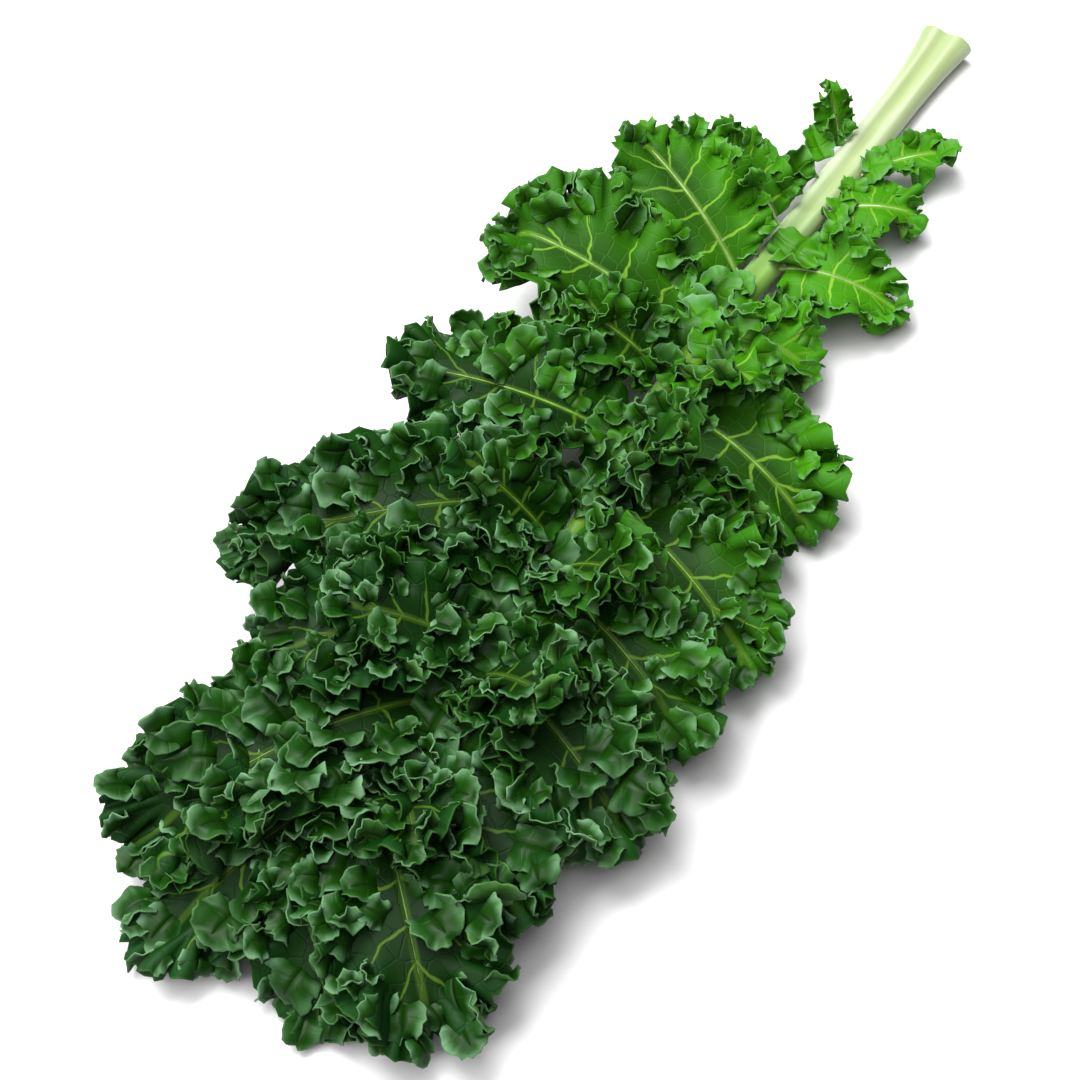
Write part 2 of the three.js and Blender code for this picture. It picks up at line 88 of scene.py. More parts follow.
# %% The lobes
# name: at, side, reach, width, heading, rise, fall, cup
LOBES = {
    "first_right": (70, -1, 32, 18, -50, 14, 20, 25),
    "first_left": (63, 1, 21, 14, -28, 66, -56, 30),
    "second_right": (92, -1, 31, 26, -32, 18, 35, 20),
    "second_left": (107, 1, 37, 26, -16, 45, -10, 30),
    "third_right": (124, -1, 43, 32, -13, 20, 45, 15),
    "third_left": (134, 1, 59, 46, -20, 40, 3, 20),
    "fourth_right": (158, -1, 31, 36, -8, 22, 45, 12),
    "fourth_left": (166, 1, 72, 60, 3, 34, 8, 10),
    "fifth_right": (194, -1, 66, 50, 13, 26, 48, 14),
    "fifth_left": (212, 1, 72, 50, 13, 32, 12, 20),
    "sixth_right": (236, -1, 75, 50, 27, 28, 46, 16),
    "sixth_left": (242, 1, 109, 50, 38, 30, 26, 22),
    "seventh_right": (270, -1, 69, 50, 22, 30, 48, 18),
    "seventh_left": (284, 1, 80, 52, 50, 34, 22, 24),
    "eighth_right": (302, -1, 72, 50, 21, 26, 44, 18),
    "eighth_left": (318, 1, 105, 54, 60, 30, 48, 22),
    "ninth_right": (330, -1, 62, 46, 30, 24, 42, 20),
    "ninth_left": (346, 1, 85, 50, 75, 22, 55, 20),
    "tenth_right": (352, -1, 77, 56, 39, 22, 46, 20),
    "inner_left_a": (184, 1, 38, 36, 10, 58, -5, 30),
    "inner_right_a": (178, -1, 36, 34, 16, 62, -10, 30),
    "inner_right_b": (224, -1, 42, 36, 0, 76, -30, 35),
    "inner_left_c": (256, 1, 44, 36, 4, 60, -20, 30),
    "inner_right_c": (264, -1, 42, 38, 12, 66, -10, 30),
    "inner_left_d": (300, 1, 50, 38, 30, 56, 0, 26),
    "inner_right_d": (306, -1, 42, 38, 14, 60, -10, 30),
    "inner_right_e": (344, -1, 40, 38, 40, 50, 0, 26),
}
TIP = (362, 1, 62, 48, 121, 8, 44, 8)
TIP_SEED = 40
print(len(LOBES), "lobes and the tip's")

# %% [markdown]
# ## The leaf's own line
# The midrib runs through a few stations, and what lies between them changes smoothly. The cut end of the
# CAD stalk tells where the leaf's line starts in the frame, so everything made here lands on the CAD.

# %% The stalk's line


def stalk_value(key, at):
    """A value of the stalk's stations at one place or at an array of places."""
    stations = np.array(STALK["at"], float)
    values = np.array(STALK[key], float)
    at = np.asarray(at, float)
    i = np.clip(np.searchsorted(stations, at, side="left") - 1, 0, len(stations) - 2)
    before, after = np.maximum(i - 1, 0), np.minimum(i + 2, len(stations) - 1)
    span = stations[i + 1] - stations[i]
    start = (values[i + 1] - values[before]) / (stations[i + 1] - stations[before]) * span
    end = (values[after] - values[i]) / (stations[after] - stations[i]) * span
    t = (at - stations[i]) / span
    rise = 3 * t**2 - 2 * t**3
    return (1 - rise) * values[i] + (t**3 - 2 * t**2 + t) * start + rise * values[i + 1] + (t**3 - t**2) * end


def stalk_point(at):
    """The middle of the stalk at a place along the leaf."""
    at = np.asarray(at, float)
    return np.stack([LEAF_LENGTH / 2 - at, stalk_value("y", at), stalk_value("z", at)], axis=-1)


FLAT_SPOT = 0.3
cad_stalk = np.array([tuple(v.co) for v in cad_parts["stalk"].data.vertices]) / MM
cut_face = cad_stalk[cad_stalk[:, 0] > cad_stalk[:, 0].max() - 0.5]
START = np.array([
    cut_face[:, 0].mean() - LEAF_LENGTH / 2,
    (cut_face[:, 1].min() + cut_face[:, 1].max()) / 2 - STALK["y"][0],
    -FLAT_SPOT,
])
print("the leaf's line starts at", START.round(2))

# %% [markdown]
# ## A lobe's surface
# A kale leaf's edge grows several times as long as the lobe it belongs to, so it has to wind from side to
# side. Each lobe is a fan on a rib. A place on it is u, round the edge from -1 to 1, and v, from 0 on the
# rib to 1 at the edge. The fan is laid out flat, bent along its rib, and then its edge winds.

# %% Smooth steps, limits and repeatable random numbers


def smoothstep(start, end, x):
    """Rises smoothly from 0 at the start to 1 at the end."""
    t = np.clip((x - start) / (end - start), 0, 1)
    return t * t * (3 - 2 * t)


def keep_over(x, limit, softness):
    """Presses x up so that it stays over the limit."""
    return limit + softness * np.logaddexp(0, (x - limit) / softness)


def draw(seed, n):
    """A repeatable random number from 0 to 1."""
    x = math.sin(seed * 12.9898 + n * 78.233) * 43758.5453
    return x - math.floor(x)


def wander(m, seed, first):
    """A smooth random wander from about -1 to 1."""
    total = 0
    for i, often in enumerate(WANDER):
        total = total + np.sin(2 * np.pi * (often * m + draw(seed, first + i))) / (1.2 + i)
    return total / 1.6


UP = np.array([0.0, 0.0, 1.0])
WANDER = (1.3, 2.9, 5.3)
print("first draws", [round(draw(1, n), 3) for n in range(3)])

# %% The lobe's surface


class Lobe:
    """One lobe: place(u, v) gives points in millimetres on the leaf's own axes."""

    def __init__(self, numbers, seed, half=None):
        """half is left out beside the midrib. On the tip's lobe it is the side to keep to, or 0 for none."""
        self.at, self.side, self.reach, self.width, self.heading, rise, fall, cup = numbers
        self.seed, self.half = seed, half
        self.beside = 1 if half is None else 0
        along = stalk_point(self.at + 1) - stalk_point(self.at - 1)
        along[2] = 0
        along /= np.linalg.norm(along)
        out = np.array([along[1], -along[0], 0]) * self.side
        self.lean = math.radians(self.heading)
        self.outward = out * math.cos(self.lean) + along * math.sin(self.lean)
        self.across = along * math.cos(self.lean) - out * math.sin(self.lean)
        self.root = stalk_point(self.at)
        self.root[2] += ROOT_LIFT * stalk_value("height", self.at)
        self.root += out * self.beside * (stalk_value("width", self.at) / 2 + ROOT_ROOM)
        self.lift = UP
        self.rise = math.radians(rise)
        self.bend = (math.radians(-fall) - self.rise) / self.reach
        self.curl = math.radians(cup) / (self.width / 2)
        self.waves = max(3, math.floor(self.edge_length() / WAVE_LENGTH + 0.5))
        self.depth = RUFFLE_DEPTH * min(1, 0.35 + self.width / 90)

    def edge_length(self):
        """How long the edge is before it ruffles."""
        return 2 * FAN * math.sqrt((((1 - CENTRE) * self.reach) ** 2 + (self.width / 2) ** 2) / 2)

    def flat(self, u, v):
        """Where u and v lie on the lobe laid flat, and the way from the rib to the edge there."""
        rib = self.reach * SPINE * (1 - np.abs(u) ** SPINE_POWER)
        x = self.reach * (CENTRE + (1 - CENTRE) * np.cos(u * FAN))
        y = (self.width / 2) * np.sin(u * FAN)
        flat_x, flat_y = rib + (x - rib) * v, y * v
        off = flat_x * math.cos(self.lean) - flat_y * math.sin(self.lean)
        shift = self.beside * (keep_over(off, FLANK_LIMIT, FLANK_SOFTNESS) - off)
        return flat_x + shift * math.cos(self.lean), flat_y - shift * math.sin(self.lean), x - rib, y

    def room(self, point):
        """How far points are from the midrib's line, on the lobe's side."""
        if self.beside:
            return self.side * (point[..., 1] - stalk_value("y", LEAF_LENGTH / 2 - point[..., 0]))
        return self.half * ((point - self.root) @ self.across)

    def settle(self, point):
        """Keeps points on their side of the midrib and over the surface that the leaf lies on."""
        if self.half == 0:
            return point
        room = self.room(point)
        if self.beside:
            point[..., 1] += self.side * (keep_over(room, SIDE_GAP, SIDE_SOFTNESS) - room)
        else:
            kept = keep_over(room, SIDE_GAP, SIDE_SOFTNESS / 2)
            point += (self.half * (kept - room))[..., None] * self.across
        point[..., 2] = keep_over(point[..., 2], FLOOR_LEVEL, FLOOR_SOFTNESS)
        return point

    def place(self, u, v):
        """Points of the lobe, with its main ruffles."""
        # The lobe without its ruffles: bent along its rib, and cupped across it.
        u, v = np.broadcast_arrays(np.asarray(u, float), np.asarray(v, float))
        x, y, out_x, out_y = self.flat(u, v)
        slope = self.rise + self.bend * np.maximum(x, 0)
        behind = np.minimum(x, 0)
        level = (np.sin(slope) - math.sin(self.rise)) / self.bend + behind * math.cos(self.rise)
        height = -(np.cos(slope) - math.cos(self.rise)) / self.bend + behind * math.sin(self.rise)
        turn = self.curl * y
        cos, sin = np.cos(slope)[..., None], np.sin(slope)[..., None]
        rib_way = self.outward * cos + self.lift * sin
        lift = self.lift * cos - self.outward * sin
        turn_cos, turn_sin = np.cos(turn)[..., None], np.sin(turn)[..., None]
        side_way = self.across * turn_cos + lift * turn_sin
        normal = lift * turn_cos - self.across * turn_sin
        point = self.root + self.outward * level[..., None] + self.lift * height[..., None]
        point = point + self.across * turn_sin / self.curl + lift * (1 - turn_cos) / self.curl

        # The ruffles: slow waves of the whole lobe, then its edge winding from side to side.
        m = (u + 1) / 2
        away = 1 / np.hypot(out_x, out_y)
        out_way = rib_way * (out_x * away)[..., None] + side_way * (out_y * away)[..., None]
        edge_way = side_way * (out_x * away)[..., None] - rib_way * (out_y * away)[..., None]
        held = (1 - smoothstep(FAN_ENDS, 1, np.abs(u))) * smoothstep(0, ROOM, self.room(point))
        roll = ROLL_DEPTH * self.reach * v * v * held * np.sin(2 * np.pi * (ROLLS * m + draw(self.seed, 1)))
        drift = 0.45 * wander(m, self.seed, 2) + draw(self.seed, 5)
        phase = 2 * np.pi * (self.waves * m + drift)
        swing = self.depth * (0.85 + 0.3 * wander(m, self.seed, 6)) * held * smoothstep(RUFFLE_START, 1, v)
        point = point + normal * (roll + swing * np.cos(phase))[..., None]
        point = point + edge_way * (OVERHANG * swing * np.sin(2 * phase))[..., None]
        point = point - out_way * (PULL_IN * swing * np.cos(phase) ** 2)[..., None]
        return self.settle(point)


lobes = {name: Lobe(numbers, seed + 1) for seed, (name, numbers) in enumerate(LOBES.items())}
tip_line = Lobe(TIP, TIP_SEED, half=0)
print("widest lobe's ruffles", max(lobe.waves for lobe in lobes.values()))

# %% [markdown]
# ## Frills on the ruffles
# Close to the edge each ruffle carries smaller frills, and the frills carry teeth. They are moved along the
# surface's own normal, worked out after the ruffle below them, so a frill stands square to its ruffle. A wave
# modifier could do this for one lobe, but not with frills that calm down towards the rib and the midrib.

# %% Frills and teeth
FRILLS_PER_WAVE = 3
TIGHTENS = (150, 250)  # between these places the blade turns from loosely to tightly frilled
LOOSE_FRILL = 3.0
TIGHT_FRILL = 3.2
FRILL_START = 0.4  # where the frills start, on the way from the rib to the edge
FRILL_ENDS = 0.9  # the share of the fan from which they calm down towards the midrib
FRILL_LEAN = 0.42  # how far a frill leans over its neighbours, as a share of its depth
FRILL_PULL = 0.3  # how far its crest is drawn back towards the rib
TEETH_PER_WAVE = 7
TOOTH_START = 0.8
LOOSE_TOOTH = 0.8
TIGHT_TOOTH = 0.4


def surface_ways(points):
    """Unit vectors of a grid of points: along the edge, out to the edge, and square to the surface."""
    along = np.gradient(points, axis=1)
    out = np.gradient(points, axis=0)
    normal = np.cross(along, out)
    ways = (along, out, normal)
    return [way / np.maximum(np.linalg.norm(way, axis=-1, keepdims=True), 1e-9) for way in ways]


def frilled(lobe, u, v, points):
    """The lobe's points with its frills and teeth."""
    m = (u + 1) / 2
    held = 1 - smoothstep(FRILL_ENDS, 1, np.abs(u))
    held = held * smoothstep(0, ROOM / 2, lobe.room(points))
    size = min(1, 0.5 + lobe.width / 100)
    tight = smoothstep(*TIGHTENS, lobe.at)
    depth = (LOOSE_FRILL + (TIGHT_FRILL - LOOSE_FRILL) * tight) * size
    ramp = smoothstep(FRILL_START, 1, v)
    phase = 2 * np.pi * (FRILLS_PER_WAVE * lobe.waves * m + 0.9 * wander(2.3 * m, lobe.seed, 11))
    swing = depth * held * (0.85 + 0.45 * wander(3.1 * m, lobe.seed, 15)) * ramp
    along, out, normal = surface_ways(points)
    points = points + normal * (swing * np.cos(phase))[..., None]
    points = points + along * (FRILL_LEAN * swing * np.sin(2 * phase))[..., None]
    points = points - out * (FRILL_PULL * swing * np.cos(phase) ** 2)[..., None]

    along, out, normal = surface_ways(points)
    teeth = 2 * np.pi * (TEETH_PER_WAVE * lobe.waves * m + 0.8 * wander(5.7 * m, lobe.seed, 19))
    bite = (LOOSE_TOOTH + (TIGHT_TOOTH - LOOSE_TOOTH) * tight) * size * held * smoothstep(TOOTH_START, 1, v)
    points = points + normal * (0.8 * bite * np.sin(teeth))[..., None]
    points = points + out * (1.3 * bite * np.cos(teeth))[..., None]
    return lobe.settle(points)


print("frills on the widest lobe", FRILLS_PER_WAVE * max(lobe.waves for lobe in lobes.values()))

# %% [markdown]
# ## Curls
# The frills of a kale leaf grow frills of their own, until they stand up as small petals, hoods and scoops
# all over the leaf. Displacing the lobe's sheet can't make them, because they overhang it. So each curl is
# a little lobe: the same fan, with its root and its axes on the big lobe's surface. They stand in rows
# round the lobe, small and only at the edge near the stalk, and everywhere beyond the leaf's middle. A few
# pits are left between them, where the darker blade below shows.

# %% A curl's surface
CURL_WAVE = 10  # of one ruffle, along the curl's edge before it ruffles
CURL_RUFFLE = 1.8
TOP_LEVEL = 54.5  # the highest that a curl comes


class Curl(Lobe):
    """A small fan of blade with its root on a lobe."""

    def __init__(self, root, outward, lift, reach, width, rise, fall, cup, seed):
        self.root, self.outward, self.lift = root, outward, lift
        self.across = np.cross(outward, lift)
        self.reach, self.width, self.seed = reach, width, seed
        self.beside, self.lean = 0, 0
        self.rise = math.radians(rise)
        self.bend = (math.radians(-fall) - self.rise) / reach
        self.curl = math.radians(cup) / (width / 2)
        self.waves = max(3, round(self.edge_length() / CURL_WAVE))
        self.depth = CURL_RUFFLE * min(1.15, width / 14)

    def room(self, point):
        """Far from the midrib everywhere, so nothing calms a curl's ruffles."""
        return np.full(point.shape[:-1], float(LEAF_LENGTH))

    def settle(self, point):
        """Keeps points over the surface that the leaf lies on, and under the leaf's top."""
        point[..., 2] = keep_over(point[..., 2], FLOOR_LEVEL, FLOOR_SOFTNESS)
        point[..., 2] = -keep_over(-point[..., 2], -TOP_LEVEL, FLOOR_SOFTNESS)
        return point


print("a curl's edge waves", CURL_WAVE, "mm apart")

# %% Where the curls stand
# A shape is the limits of a curl's rise at its root, its fall at its end, and its cup, all in degrees.
PETAL = ((40, 85), (-15, 50), (0, 50))
HOOD = ((50, 95), (40, 95), (-40, 5))
SCOOP = ((0, 40), (-100, -40), (20, 70))
PETALS, HOODS = 0.6, 0.25  # the shares of petals and hoods, and the rest are scoops
CURL_WIDTHS = (0.95, 1.3)  # shares of a curl's reach
CURL_SUNK = 0.5  # how far its root is sunk in the lobe
MOST_TURN = 60  # degrees that it may turn aside from the way out to the edge
CLUMP_SIZE = 30
PIT = 0.6  # the level from which a hollow has no curls
PIT_INSET = 20  # and only this far from the edge or further


def lobe_frame(lobe, u, v):
    """Points of a lobe with their unit ways: along the edge, out to it, and square to the upper side."""
    step = 0.004
    here = lobe.place(u, v)
    along = lobe.place(u + step, v) - lobe.place(u - step, v)
    out = lobe.place(u, v + step) - lobe.place(u, v - step)
    normal = np.cross(along, out)
    normal *= np.sign(normal[..., 2].sum())
    unit = [way / np.linalg.norm(way, axis=-1, keepdims=True) for way in (along, out, normal)]
    return here, *unit


def random_curl(root, way, normal, small, large, rng):
    """A curl of a random size: a petal, a hood that bows over, or a scoop that opens upwards."""
    lift = normal - way * (normal @ way)
    lift /= np.linalg.norm(lift)
    reach = rng.uniform(small, large)
    width = reach * rng.uniform(*CURL_WIDTHS)
    kind = rng.random()
    shape = PETAL if kind < PETALS else HOOD if kind < PETALS + HOODS else SCOOP
    rise, fall, cup = (rng.uniform(*limits) for limits in shape)
    seed = int(rng.integers(1, 9000))
    return Curl(root - lift * CURL_SUNK, way, lift, reach, width, rise, fall, cup, seed)


def hollow(point):
    """A wavy pattern, high in the pits between the clumps of curls, where the blade below shows."""
    x, y, z = point / CLUMP_SIZE
    clumps = math.sin(2.1 * x + 1.3 * y + 0.4) * math.sin(1.7 * y - 0.9 * x + 2.0 * z + 1.1)
    return clumps + 0.3 * math.sin(5 * x + 4 * y)


def curls_on(lobe, rows, rng, start=-FAN_ENDS, end=FAN_ENDS):
    """The curls of one lobe.

    A row is its distance from the edge, the gap between its curls, and their least and most reach."""
    curls = []
    for inset, gap, small, large in rows:
        fine_u = np.linspace(start, end, 400)
        _, _, out_x, out_y = lobe.flat(fine_u, 1)
        fine_v = 1 - inset / np.hypot(out_x, out_y)
        line = lobe.place(fine_u, np.maximum(fine_v, 0.05))
        run = np.concatenate([[0], np.cumsum(np.linalg.norm(np.diff(line, axis=0), axis=1))])
        count = max(2, int(run[-1] / gap))
        stops = (np.arange(count) + rng.uniform(0.2, 0.8, count)) / count * run[-1]
        u = np.interp(stops, run, fine_u)
        v = np.interp(u, fine_u, fine_v)
        here, along, out, normal = lobe_frame(lobe, u, np.clip(v, 0.05, 0.99))
        for i in range(count):
            turn = math.radians(rng.uniform(-MOST_TURN, MOST_TURN))
            way = out[i] * math.cos(turn) + along[i] * math.sin(turn)
            curl = random_curl(here[i], way, normal[i], small, large, rng)
            if v[i] > 0.04 and (inset < PIT_INSET or hollow(here[i]) < PIT):
                curls.append(curl)
    return curls


def curl_rows(at, inner=False):
    """More and larger rows of curls the nearer a lobe is to the leaf's tip."""
    if at < 150:
        return [(5, 7, 5, 8)]
    if at < 200:
        return [(6, 7, 7, 10), (14, 11, 8, 12)]
    if at < 280 or inner:
        return [(6, 7.2, 7, 10), (13, 8.5, 7, 11), (21, 9.5, 8, 12), (30, 11, 9, 13)]
    return [(6.5, 8, 8, 11.5), (14, 10, 9, 14), (23, 11.5, 10, 15), (34, 13, 11, 16)]


print("rows of curls from the stalk to the tip", [len(curl_rows(at)) for at in (100, 180, 250, 340)])

# %% [markdown]
# ## The blade's colours
# Near the stalk the leaf is a fresh green with pale veins, and towards its tip it turns dark. The ends of
# its curls and lobes turn a pale grey, partly from the leaf's own waxy coat and partly as a painted
# highlight, and a painted shade darkens the lobes and curls down at their roots, most towards the tip. Its
# underside is paler. One material function makes all four finishes from noise, the veins' pattern and the
# attributes that each mesh carries. A photo could be projected instead, but it would bring its own shadows,
# and it can't be moved.

# %% Materials' colours


def colour(red, green, blue):
    """A colour as given, from 0 to 255, made linear."""
    parts = [c / 255 for c in (red, green, blue)]
    return (*[c / 12.92 if c <= 0.04045 else ((c + 0.055) / 1.055) ** 2.4 for c in parts], 1)


class Graph:
    """A material's node tree, with short calls that add a node and give back its output."""

    def __init__(self, name):
        self.material = bpy.data.materials.new(name)
        self.material.use_nodes = True
        self.nodes = self.material.node_tree.nodes
        self.links = self.material.node_tree.links
        self.shader = self.nodes["Principled BSDF"]
        self.output = self.nodes["Material Output"]

    def add(self, kind, inputs=(), **settings):
        node = self.nodes.new(kind)
        for key, value in settings.items():
            setattr(node, key, value)
        for socket, value in dict(inputs).items():
            self.put(node.inputs[socket], value)
        return node

    def put(self, socket, value):
        if isinstance(value, bpy.types.NodeSocket):
            self.links.new(value, socket)
        else:
            socket.default_value = value

    def maths(self, operation, a, b=0.0, c=0.0):
        return self.add("ShaderNodeMath", {0: a, 1: b, 2: c}, operation=operation).outputs[0]

    def band(self, value, low, high, to_low=0.0, to_high=1.0):
        """A smooth step between two values of an input. low may be the larger of them."""
        inputs = {"Value": value, "From Min": low, "From Max": high, "To Min": to_low, "To Max": to_high}
        return self.add("ShaderNodeMapRange", inputs, interpolation_type="SMOOTHSTEP").outputs["Result"]

    def mix(self, share, a, b):
        node = self.add("ShaderNodeMix", data_type="RGBA")
        self.put(node.inputs["Factor"], share)
        self.put(node.inputs[6], a)
        self.put(node.inputs[7], b)
        return node.outputs[2]


print("dark green", [round(c, 3) for c in colour(40, 84, 30)])

# %% The veins' pattern
VEINS = 5  # on either side of the rib a branch vein is drawn at each fifth of u, up to its end


def leaf_places(graph):
    """What tells a blade material where it is: u and v, the place, and the attributes of note_places."""
    uv = graph.add("ShaderNodeUVMap", uv_map="leaf").outputs["UV"]
    parts = graph.add("ShaderNodeSeparateXYZ", {0: uv})
    place = graph.add("ShaderNodeTexCoord").outputs["Object"]
    flat = graph.add("ShaderNodeAttribute", attribute_name="flat").outputs["Vector"]
    numbers = [
        graph.add("ShaderNodeAttribute", attribute_name=name).outputs["Fac"]
        for name in ("spread", "rim", "shade")
    ]
    return parts.outputs["X"], parts.outputs["Y"], place, *numbers, flat


def vein_shares(graph, u, v, spread, flat):
    """How much a point is on a branch vein, and on the net of fine veins."""
    noise = graph.add("ShaderNodeTexNoise", {"Vector": flat, "Scale": 0.11, "Detail": 2.0}).outputs["Fac"]
    wobble = graph.maths("MULTIPLY", graph.maths("SUBTRACT", noise, 0.5), 0.05)
    branch = graph.maths("MULTIPLY", graph.maths("ADD", u, wobble), float(2 * VEINS))
    nearest = graph.maths("ABSOLUTE", graph.maths("SUBTRACT", branch, graph.maths("ROUND", branch)))
    distance = graph.maths("MULTIPLY", graph.maths("DIVIDE", nearest, float(VEINS)), spread)
    width = graph.band(v, 0.0, 0.9, 0.5, 0.2)
    branches = graph.maths("SUBTRACT", 1.0, graph.band(graph.maths("DIVIDE", distance, width), 0.5, 1.6))
    branches = graph.maths("MULTIPLY", branches, graph.band(spread, 12.0, 45.0))
    rib = graph.maths("ABSOLUTE", graph.add("ShaderNodeSeparateXYZ", {0: flat}).outputs["Y"])
    cells = {"Vector": flat, "Scale": 0.19, "Randomness": 0.85}
    net = graph.add("ShaderNodeTexVoronoi", cells, feature="DISTANCE_TO_EDGE", voronoi_dimensions="2D")
    fine = graph.maths("SUBTRACT", 1.0, graph.band(net.outputs["Distance"], 0.01, 0.075))
    halo = graph.maths("SUBTRACT", 1.0, graph.band(rib, 0.5, 1.6))
    return graph.maths("MAXIMUM", branches, graph.maths("MULTIPLY", halo, 0.5)), fine


def growth(graph, place, shade):
    """How far towards the stalk a point counts, in metres from the leaf's middle.

    It is blotchy, differs a little from lobe to lobe, and is less on the left."""
    axes = graph.add("ShaderNodeSeparateXYZ", {0: place}).outputs
    blotch = graph.add("ShaderNodeTexNoise", {"Vector": place, "Scale": 22.0, "Detail": 3.0}).outputs["Fac"]
    blotchy = graph.maths("MULTIPLY", graph.maths("SUBTRACT", blotch, 0.5), 0.12)
    own = graph.maths("MULTIPLY", graph.maths("SUBTRACT", shade, 0.5), 0.1)
    shifted = graph.maths("ADD", graph.maths("ADD", axes["X"], blotchy), own)
    return graph.maths("SUBTRACT", shifted, graph.maths("MULTIPLY", axes["Y"], 0.5))


print("steps of u between a lobe's veins", 1 / VEINS)

# %% The blade's materials
# The near-black green that the painted shade at the roots blends towards.
PAINTED_SHADE_GREEN = colour(7, 32, 2)


def blade_material(name, near, far, wax_and_highlight_colour, vein, edge, wax_and_highlight_share, vein_share, gloss, specular, depth):
    """A blade finish.

    Its green turns from near to far along the leaf. bloom is a pale colour laid on the ends, by its share,
    partly the leaf's own waxy coat and partly a painted highlight where the ends catch the light. vein is
    drawn by its share, and edge is the thin rim's colour. gloss is the least roughness. depth is how far a
    painted shade darkens it down at the root, where little light comes."""
    graph = Graph(name)
    u, v, place, spread, rim, shade, flat = leaf_places(graph)
    shifted = growth(graph, place, shade)
    base = graph.mix(graph.band(shifted, 0.12, -0.1), near, far)
    patch = graph.add("ShaderNodeTexNoise", {"Vector": place, "Scale": 60.0, "Detail": 4.0}).outputs["Fac"]
    # Pale towards the ends: partly the leaf's own waxy coat and partly a painted highlight where the ends
    # catch the light.
    wax_and_highlight_mask = graph.maths("MULTIPLY", graph.band(patch, 0.3, 0.75), graph.band(v, 0.45, 1.0, 0.0, wax_and_highlight_share))
    wax_and_highlight_mask = graph.maths("MULTIPLY", wax_and_highlight_mask, graph.band(shade, 0.0, 1.0, 0.5, 1.0))
    base = graph.mix(graph.maths("MULTIPLY", wax_and_highlight_mask, graph.band(shifted, 0.18, 0.0, 0.5, 1.0)), base, wax_and_highlight_colour)
    # Painted shade: darker down at the root of each lobe and curl, where they shade one another, and more so
    # towards the tip.
    painted_root_shade = graph.maths("MULTIPLY", graph.band(v, 0.0, 0.95, depth, 0.0), graph.band(shifted, 0.14, 0.02))
    base = graph.mix(painted_root_shade, base, PAINTED_SHADE_GREEN)
    branches, fine = vein_shares(graph, u, v, spread, flat)
    net = graph.maths("MULTIPLY", fine, graph.band(rim, 0.5, 8.0, 0.0, 0.09 * vein_share))
    net = graph.maths("MULTIPLY", net, graph.band(shifted, -0.02, 0.1))
    base = graph.mix(net, base, vein)
    branches = graph.maths("MULTIPLY", branches, graph.band(shifted, -0.02, 0.1, 0.3, 1.0))
    drawn = graph.maths("MULTIPLY", branches, graph.band(rim, 0.5, 8.0, 0.0, 0.9 * vein_share))
    base = graph.mix(drawn, base, vein)
    base = graph.mix(graph.band(rim, 0.6, 0.2, 0.0, 0.15), base, edge)
    rough = graph.band(patch, 0.3, 0.7, gloss, gloss + 0.12)
    height = graph.maths("MAXIMUM", branches, graph.maths("MULTIPLY", fine, 0.4 * vein_share))
    height = graph.maths("SUBTRACT", graph.maths("MULTIPLY", patch, 0.25), height)
    bump = graph.add("ShaderNodeBump", {"Strength": 0.45, "Distance": 0.0006, "Height": height})
    graph.put(graph.shader.inputs["Base Color"], base)
    graph.put(graph.shader.inputs["Roughness"], rough)
    graph.put(graph.shader.inputs["Normal"], bump.outputs["Normal"])
    graph.shader.inputs["Specular IOR Level"].default_value = specular
    glow = graph.add("ShaderNodeBsdfTranslucent", {"Color": base})
    blend = graph.add("ShaderNodeMixShader", {0: 0.08, 1: graph.shader.outputs[0], 2: glow.outputs[0]})
    graph.put(graph.output.inputs["Surface"], blend.outputs[0])
    return graph.material


upper_side = blade_material(
    "blade_upper", near=colour(52, 116, 6), far=colour(10, 48, 6), wax_and_highlight_colour=colour(36, 80, 40),
    vein=colour(112, 156, 44), edge=colour(84, 134, 46),
    wax_and_highlight_share=0.4, vein_share=1.0, gloss=0.46, specular=0.1, depth=0.88)
under_side = blade_material(
    "blade_under", near=colour(84, 130, 44), far=colour(34, 66, 30), wax_and_highlight_colour=colour(60, 90, 60),
    vein=colour(130, 164, 86), edge=colour(84, 134, 46),
    wax_and_highlight_share=0.5, vein_share=1.0, gloss=0.6, specular=0.1, depth=0.6)
curl_upper = blade_material(
    "curl_upper", near=colour(56, 120, 4), far=colour(18, 62, 2), wax_and_highlight_colour=colour(104, 144, 108),
    vein=colour(92, 140, 50), edge=colour(110, 150, 92),
    wax_and_highlight_share=0.95, vein_share=0.12, gloss=0.4, specular=0.15, depth=0.7)
curl_under = blade_material(
    "curl_under", near=colour(74, 124, 34), far=colour(42, 82, 26), wax_and_highlight_colour=colour(88, 124, 84),
    vein=colour(92, 134, 60), edge=colour(110, 150, 92),
    wax_and_highlight_share=0.8, vein_share=0.3, gloss=0.48, specular=0.12, depth=0.7)
print("blade materials", upper_side.name, under_side.name, curl_upper.name, curl_under.name)

# %% [markdown]
# ## From a grid to a lobe
# A plain grid is added with the operator and its points are moved onto the lobe. Sculpting each lobe by hand
# would look as good, but 27 lobes that share one formula stay alike, and keep to their places on the CAD.
# The grid keeps its own UV map, which tells the material where the edge and the veins are. Solidify then
# gives it its thickness, with the underside in its own material.

# %% Moving a grid's points


def deselect_all():
    bpy.ops.object.select_all(action="DESELECT")


def grid_piece(name, columns, rows):
    """A grid with so many columns of faces round and rows out, and its points' u and v."""
    deselect_all()
    bpy.ops.mesh.primitive_grid_add(x_subdivisions=columns, y_subdivisions=rows, size=2)
    piece = bpy.context.object
    piece.name = name
    piece.data.name = name
    piece.data.uv_layers[0].name = "leaf"
    places = np.empty(len(piece.data.vertices) * 3)
    piece.data.vertices.foreach_get("co", places)
    places = places.reshape(rows + 1, columns + 1, 3)
    return piece, places[..., 0], (places[..., 1] + 1) / 2


